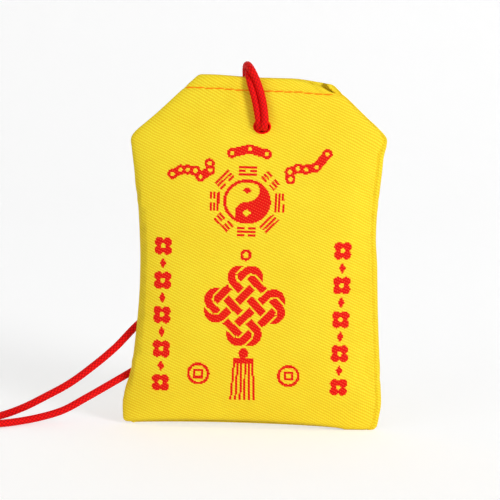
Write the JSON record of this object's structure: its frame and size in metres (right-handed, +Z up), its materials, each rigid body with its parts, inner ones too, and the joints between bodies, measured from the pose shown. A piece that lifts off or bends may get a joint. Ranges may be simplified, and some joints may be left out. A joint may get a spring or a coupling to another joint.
{
  "type": "amulet pouch",
  "caption": "Flat sewn amulet pouch with slanted shoulders and a hemmed mouth, padded round a folded paper amulet, carried on a doubled neck cord hitched through eyelets.",
  "frame": {"origin": "on the ground, under the middle of the pouch, cord not counted", "axes": "+X to the right of the front panel, +Y from the front panel to the back panel, +Z up"},
  "size_m": [0.151, 0.0193, 0.0948],
  "materials": {
    "brocade": "twill-woven yellow silk brocade with red figures, soft sheen",
    "wadding": "white polyester wadding",
    "amulet_paper": "thin yellow paper, folded",
    "cord": "round braided red polyester cord",
    "thread": "red overcast stitching"
  },
  "bodies": {
    "pouch": {"front_panel": "brocade", "back_panel": "brocade", "front_eyelet": "thread", "back_eyelet": "thread", "front_wadding": "wadding", "back_wadding": "wadding", "upper_strand": "cord", "lower_strand": "cord", "upper_strand_coil": "cord", "lower_strand_coil": "cord", "end_knot": "cord"},
    "amulet": {"folded_amulet": "amulet_paper"},
    "hitch": {"cord_hitch": "cord"}
  },
  "joints": [
    {"name": "amulet_slide", "type": "slide", "parent": "pouch", "child": "amulet", "axis": [0, 0, 1], "range_m": [0, 0.015]},
    {"name": "hitch_swing", "type": "hinge", "parent": "pouch", "child": "hitch", "pos_m": [0, 0, 0.078], "axis": [0, 1, 0], "range_deg": [-7, 33]}
  ]
}
